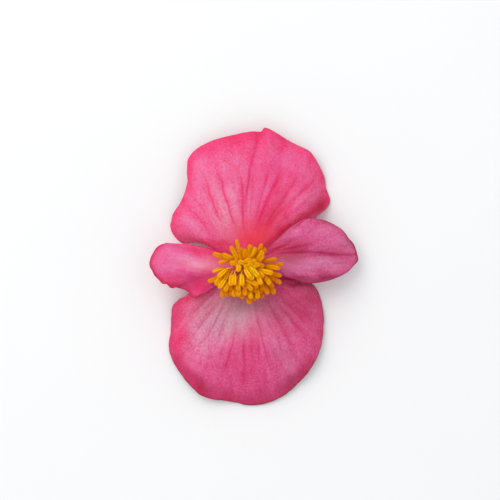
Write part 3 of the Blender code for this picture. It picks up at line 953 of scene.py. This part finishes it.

# Red over the claw, partly pigment and partly a painted orange reflection of the stamens, pale
# left half, crimson top left, painted shade on the right shoulder where the margin curls down, and
# painted shade along the edge under the right tepal's lip
UPPER_PATCHES = (
    ((240, 122, 162), (-4.6, 12), (6.5, 8), 10, 0.7),
    ((212, 20, 70), (5.9, 10.1), (1.9, 5.2), -34, 0.92),
    ((232, 62, 126), (-6.5, 23.8), (9.5, 1.7), 14, 0.7),
    ((236, 78, 134), (3.6, 17.4), (1.8, 3.4), -8, 0.6),
    ((236, 84, 138), (9.6, 20.6), (4, 2.4), -40, 0.5),
    ((234, 114, 158), (-9, 18.6), (2.4, 2.4), 0, 0.3),
    ((234, 122, 166), (-2.4, 20.6), (3, 1.6), 20, 0.45),
    ((234, 112, 158), (-10.6, 8.8), (3, 2.6), 0, 0.45),
    ((240, 142, 170), (-3.6, 9.8), (2.6, 3.8), 10, 0.8),
    ((246, 122, 170), (10.9, 12.9), (2.6, 5), -46, 0.75),
    # Partly painted reflection: orange light from the stamens over the red claw
    ((246, 66, 84), (1.8, 5.4), (4, 3.2), 0, 0.92),
    # Painted shade: along the edge under the right tepal's lip, and on the curled right shoulder
    ((206, 8, 58), (7.6, 7), (6.5, 1.1), 41, 0.95),
    ((180, 6, 54), (15.8, 12), (2.8, 2.8), 28, 0.98),
    ((184, 20, 66), (12.6, 10.2), (3.6, 1), 34, 0.85),
    ((226, 44, 92), (-6.5, 4.6), (7, 0.8), -10, 0.7),
)
# Pale throat, greyed in part as painted shade under the stamen head, hot pink left side, painted
# shade on the right side, which turns away from the light, painted shade along the lower margin,
# which curls down, and a painted shadow cast by the right tepal
LOWER_PATCHES = (
    ((238, 48, 112), (-14.8, -13.8), (3.1, 8.4), 4, 0.86),
    # Painted shade on the right side
    ((178, 42, 86), (10.4, -7.4), (5.4, 3.8), -36, 0.7),
    ((218, 60, 118), (0.6, -18.4), (5.6, 3.4), 0, 0.65),
    ((232, 136, 172), (-7.9, -13.9), (2.3, 5.2), -36, 0.8),
    ((202, 110, 148), (7.4, -17), (2.6, 4.5), 24, 0.5),
    ((224, 138, 172), (-5.6, -12.4), (3, 4.4), -34, 0.55),
    # Pale throat, greyed in part as painted shade under the stamen head
    ((206, 152, 169), (-3, -9.9), (6.6, 3.9), 0, 0.94),
    ((184, 130, 142), (-0.9, -7.5), (5.5, 1.8), 0, 0.8),
    # Painted shade on the right side
    ((172, 80, 112), (6.4, -9), (2.4, 4), 44, 0.55),
    # Painted shade along the lower margin, where it curls down
    ((146, 24, 66), (10.4, -23.2), (8, 2), 40, 0.86),
    ((172, 24, 80), (-9.8, -24.5), (7.2, 2), -40, 0.86),
    ((196, 30, 88), (-13.1, -21.2), (5.4, 1.6), -54, 0.72),
    ((176, 40, 94), (1, -27.3), (8.4, 1.7), 0, 0.72),
    ((232, 44, 98), (-12.4, -7.2), (2.6, 1.4), 14, 0.85),
    # Painted shadow cast by the right tepal's lower edge
    ((126, 16, 48), (10.6, -3.4), (3.4, 0.5), -10, 0.9),
)
# Pale streak along the middle, a painted highlight on its ridge, hot pink above it, and painted
# shade on the wavy lower edge and lobe below, which turn down away from the light
LEFT_PATCHES = (
    ((222, 98, 152), (-16, 0.4), (3.6, 3.2), 0, 0.6),
    ((228, 96, 150), (-12.6, 1.5), (4.6, 1.8), 0, 0.75),
    ((236, 52, 112), (-9.4, 3.3), (5, 0.7), -6, 0.8),
    # Painted highlight along the ridge of the middle
    ((240, 160, 188), (-8.6, 0.5), (5, 1.1), -3, 0.85),
    # Painted shade on the lower edge and lobe, which turn down away from the light
    ((202, 52, 108), (-10.4, -2.4), (4.2, 1.2), 3, 0.8),
    ((194, 16, 66), (-14, -3.6), (4.8, 0.8), -14, 0.92),
    ((222, 44, 104), (-8.8, -4.2), (2.8, 1.9), 10, 0.92),
    ((246, 104, 130), (-5.8, 1.2), (2.4, 1.6), 0, 0.7),
)
# Paler lower half, partly a painted sheen where it faces the light, painted shade above and in the
# crease and along the lower edge, and deeper pink towards the claw
RIGHT_PATCHES = (
    # Painted shade above and in the crease, where the blade turns from the light
    ((192, 36, 80), (9.6, 4), (4.4, 1.5), 16, 0.85),
    ((168, 58, 86), (8.2, 1.9), (4.2, 1), 2, 0.8),
    ((222, 104, 154), (16, 5.6), (5.2, 2.4), -18, 0.7),
    ((222, 96, 146), (9.4, 7.2), (2, 1.2), 40, 0.7),
    # Paler lower half, partly painted sheen
    ((206, 116, 156), (14.2, 0.5), (7.6, 1.5), 2, 0.85),
    # Painted shade along the lower edge
    ((150, 26, 66), (9.8, -2.3), (5.2, 1), -6, 0.85),
    ((222, 60, 96), (5.2, 3.4), (2, 1.2), 36, 0.7),
    ((206, 112, 150), (20.4, 4.4), (1.5, 1.8), 0, 0.75),
    ((204, 72, 118), (18.4, 3), (2.4, 1), -20, 0.4),
    # Painted shade along the lower edge
    ((150, 30, 68), (15.6, -2.9), (5.6, 0.8), 12, 0.85),
    ((232, 104, 156), (10, 8), (2.2, 0.5), 42, 0.7),
)

# Main veins: place across the tepal at the claw and at the margin, bend, the shares of the
# length that it starts and ends at, its half width in millimetres and its strength
UPPER_VEINS = (
    (0.814, 0.643, -0.094, 0.3, 0.82, 0.26, 0.75), (0.636, 0.613, -0.05, 0.16, 0.79, 0.26, 0.85),
    (0.581, 0.578, -0.258, 0.17, 0.72, 0.28, 0.75), (0.656, 0.472, -0.025, 0.62, 0.9, 0.26, 0.5),
    (0.283, 0.639, 0, 0.66, 0.83, 0.24, 0.35), (0.551, 0.443, -0.018, 0.31, 0.96, 0.3, 0.8),
    (0.48, 0.464, -0.039, 0.4, 0.72, 0.4, 0.45), (0.437, 0.387, -0.092, 0.21, 0.77, 0.28, 0.7),
    (0.437, 0.336, -0.163, 0.15, 0.78, 0.32, 0.95), (0.366, 0.288, -0.226, 0.19, 0.86, 0.28, 0.65),
    (0.341, 0.194, -0.127, 0.17, 0.88, 0.38, 0.65), (0.265, 0.14, -0.053, 0.29, 0.87, 0.36, 0.55),
    (0.843, 0.791, -0.028, 0.32, 0.97, 0.24, 0.5), (0.915, 0.829, -0.047, 0.36, 0.89, 0.24, 0.45),
)
LOWER_VEINS = (
    (0.065, 0.145, 0.132, 0.26, 0.74, 0.26, 0.56), (0.23, 0.215, 0.033, 0.24, 0.8, 0.19, 0.48),
    (0.231, 0.205, 0.279, 0.21, 0.78, 0.2, 0.6), (0.31, 0.38, 0.001, 0.23, 0.6, 0.17, 0.48),
    (0.397, 0.393, 0.11, 0.32, 0.82, 0.22, 0.68), (0.447, 0.488, 0.049, 0.38, 0.86, 0.22, 0.72),
    (0.553, 0.5, 0, 0.38, 0.66, 0.3, 0.56), (0.598, 0.527, 0, 0.36, 0.72, 0.28, 0.6),
    (0.577, 0.598, -0.01, 0.17, 0.8, 0.19, 0.6), (0.609, 0.657, 0.091, 0.26, 0.78, 0.19, 0.52),
    (0.716, 0.691, 0.026, 0.21, 0.8, 0.21, 0.56), (0.814, 0.795, -0.106, 0.27, 0.84, 0.2, 0.6),
    (0.882, 0.812, -0.085, 0.33, 0.88, 0.2, 0.44), (0.933, 0.841, 0, 0.52, 0.9, 0.2, 0.28),
    (0.381, 0.382, 0, 0.46, 0.78, 0.2, 0.44), (0.573, 0.557, 0, 0.6, 0.95, 0.2, 0.36),
    (0.445, 0.445, 0, 0.7, 1, 0.2, 0.36), (0.515, 0.52, 0, 0.55, 0.88, 0.18, 0.32),
)
LEFT_VEINS = (
    (0.691, 0.285, 0.424, 0.46, 0.83, 0.3, 0.3), (0.826, 0.292, -0.705, 0.3, 0.81, 0.22, 0.3),
    (0.709, 0.257, -0.005, 0.38, 0.76, 0.2, 0.25), (0.272, -0.101, -0.002, 0.17, 0.42, 0.22, 0.25),
    (0.583, 0.756, -0.001, 0.53, 0.92, 0.24, 0.35),
)
RIGHT_VEINS = (
    (0.824, 0.449, -0.153, 0.28, 0.86, 0.32, 0.8), (0.854, 0.704, -0.032, 0.23, 0.47, 0.3, 0.7),
    (0.782, 0.481, 0.2, 0.21, 0.56, 0.32, 0.75), (0.726, 0.635, 0, 0.46, 0.66, 0.22, 0.4),
    (0.431, -0.07, -0.004, 0.25, 0.67, 0.22, 0.4), (0.899, 0.832, -0.002, 0.32, 0.58, 0.2, 0.3),
    (0.82, 0.985, -0.089, 0.62, 0.95, 0.24, 0.55), (0.671, 0.477, -0.147, 0.4, 1.01, 0.18, 0.55),
)

# Folds: as a vein, its strength being that of the painted shade along it, and then its depth in
# millimetres. The right tepal's crease, along which its blade is bent, is given by its place at
# the claw and at the margin and its bend
RIGHT_CREASE = (0.86, 0.48, -0.38)
UPPER_FOLDS = (
    (0.578, 0.435, 0, 0.76, 1.2, 0.42, 0.2, 0.13),
    (0.475, 0.455, 0, 0.45, 0.72, 0.8, 0.25, 0.03),
)
LOWER_FOLDS = (
    (0.485, 0.492, 0, 0.4, 0.92, 0.6, 0.15, 0.02),
    (0.455, 0.45, 0, 0.7, 0.95, 0.6, 0.2, 0.02),
)
LEFT_FOLDS = (
    (0.6, 0.56, 0, 0.3, 0.95, 0.6, 0.25, 0.04),
)
RIGHT_FOLDS = (
    (*RIGHT_CREASE, 0.1, 1.2, 0.3, 0.5, 0.12),
    (0.97, 0.52, 0, 0.08, 0.5, 0.28, 0.5, 0.08),
    (0.835, 0.54, 0, 0.14, 0.66, 0.28, 0.4, 0.08),
    (0.86, 0.975, 0, 0.6, 1.2, 0.25, 0.5, 0.18),
)

# The tepals: bearings of both sides of the claw, how far both sides bow, and the rows and columns
# of the net. Then the tissue: two pinks, how strong streaks and cells are, a calm oval with less
# of both, how far red follows them and the veins, how many streaks there are beside the outer
# pair, the colour, reach and strength of the edge, the rim's colours painted as lit and as shaded,
# with its reach and strength, and the colour of the painted shade along the folds
UPPER = dict(
    node="upper_tepal", slot="outer_tepal", margin=UPPER_MARGIN, claw=(18.0, 152.0),
    bows=((-0.4, 0.0), (-0.4, -1.15)), height=upper_height, net=(120, 250),
    pinks=((237, 95, 148), (234, 79, 135)), streak=1.4, grain=2.6,
    calm=((1, 6), (6, 3.5)), shade=0, vein_shade=0.06, breadth=1,
    edge=((238, 54, 112), 3, 0.65), rim=((222, 44, 96), (150, 24, 60), 0.4, 0.6),
    painted_fold_shade=(216, 30, 82), patches=UPPER_PATCHES, veins=UPPER_VEINS,
    folds=UPPER_FOLDS, seed=2,
)
LOWER = dict(
    node="lower_tepal", slot="lower_tepal", margin=LOWER_MARGIN, claw=(204.0, 340.0),
    bows=((0.0, 0.0), (0.0, 0.0)), height=lower_height, net=(120, 240),
    pinks=((229, 95, 146), (221, 75, 129)), streak=1.3, grain=2.5,
    calm=((-1, -9.5), (7.5, 4.5)), shade=0.14, vein_shade=0.16, breadth=1,
    edge=((206, 48, 98), 3.2, 0.6), rim=((214, 36, 88), (122, 22, 52), 0.45, 0.75),
    painted_fold_shade=(206, 36, 92), patches=LOWER_PATCHES, veins=LOWER_VEINS,
    folds=LOWER_FOLDS, seed=5,
)
RIGHT = dict(
    node="right_tepal", slot="inner_tepal", margin=RIGHT_MARGIN, claw=(-38.0, 46.0),
    bows=((0.5, 0.0), (-0.1, 0.6)), height=right_height, net=(120, 160),
    pinks=((212, 92, 142), (208, 76, 126)), streak=1.2, grain=2.2,
    calm=((9, 0.8), (5, 1.5)), shade=0.22, vein_shade=0.3, breadth=0.42,
    edge=((190, 56, 106), 1.3, 0.4), rim=((190, 40, 88), (112, 20, 50), 0.45, 0.85),
    painted_fold_shade=(180, 36, 80), patches=RIGHT_PATCHES, veins=RIGHT_VEINS,
    folds=RIGHT_FOLDS, seed=8,
)
LEFT = dict(
    node="left_tepal", slot="inner_tepal", margin=LEFT_MARGIN, claw=(138.0, 216.0),
    bows=((-0.85, 0.0), (0.0, 0.0)), height=left_height, net=(120, 180),
    pinks=((235, 102, 156), (229, 82, 138)), streak=0.9, grain=1.7,
    calm=((-8, 0.4), (5, 1.4)), shade=0, vein_shade=0.1, breadth=0.42,
    edge=((216, 50, 104), 1.8, 0.45), rim=((196, 20, 66), (150, 18, 54), 0.9, 0.85),
    painted_fold_shade=(196, 24, 72), patches=LEFT_PATCHES, veins=LEFT_VEINS,
    folds=LEFT_FOLDS, seed=13,
)


def add_tepal(tepal):
    blade = Blade(tepal["margin"], tepal["claw"], tepal["bows"], tepal["height"], *tepal["net"])
    points, faces, maps = tepal_mesh(blade, tepal_relief(blade, tepal))
    make_piece(tepal["node"] + "_blade", points, faces, maps, tepal_finish(blade, tepal),
               tepal["node"])


def floor_finish():
    made = Recipe("studio_floor")
    cloud = made.noise(30.0, 2.0)
    colour = made.tint(cloud, (253, 253, 253), (250, 250, 251))
    return made.finished(colour, 0.75, 0.2)


def add_studio():
    """Plain pale floor, soft light from the upper left, and the camera straight above."""
    mesh = bpy.data.meshes.new("studio_floor")
    corners = [(x * FLOOR_REACH, y * FLOOR_REACH, 0.0)
               for x, y in ((-1, -1), (1, -1), (1, 1), (-1, 1))]
    mesh.from_pydata(corners, [], [(0, 1, 2, 3)])
    mesh.materials.append(floor_finish())
    floor = add_object("studio_floor", mesh)
    floor.location.z = -FLOOR_DEPTH

    world = bpy.data.worlds.new("soft_daylight")
    world.use_nodes = True
    background = world.node_tree.nodes["Background"]
    background.inputs["Color"].default_value = (0.97, 0.985, 1.0, 1.0)
    background.inputs["Strength"].default_value = SKY_STRENGTH
    bpy.context.scene.world = world

    lamp = bpy.data.lights.new("window_light", "AREA")
    lamp.energy = LAMP_POWER
    lamp.size = LAMP_SIZE
    lamp.color = (1.0, 0.985, 0.96)
    light = add_object("window_light", lamp)
    light.location = LAMP_PLACE
    light.rotation_euler = (-light.location).to_track_quat("-Z", "Y").to_euler()

    pixel = BLOOM_LENGTH / BLOOM_PIXELS
    middle = PICTURE_PIXELS / 2.0
    lens = bpy.data.cameras.new("above")
    lens.sensor_width = SENSOR_WIDTH
    lens.lens = SENSOR_WIDTH * (CAMERA_HEIGHT - SCALE_HEIGHT) / (PICTURE_PIXELS * pixel)
    lens.clip_start = 0.01
    camera = add_object("above", lens)
    camera.location = ((middle - BLOOM_AXIS_PIXEL[0]) * pixel * MM,
                       (BLOOM_AXIS_PIXEL[1] - middle) * pixel * MM, CAMERA_HEIGHT * MM)
    bpy.context.scene.camera = camera
    bpy.context.scene.view_settings.view_transform = "Standard"


for tepal in (UPPER, LOWER, RIGHT, LEFT):
    add_tepal(tepal)
add_stamens()
add_stalk()
add_studio()
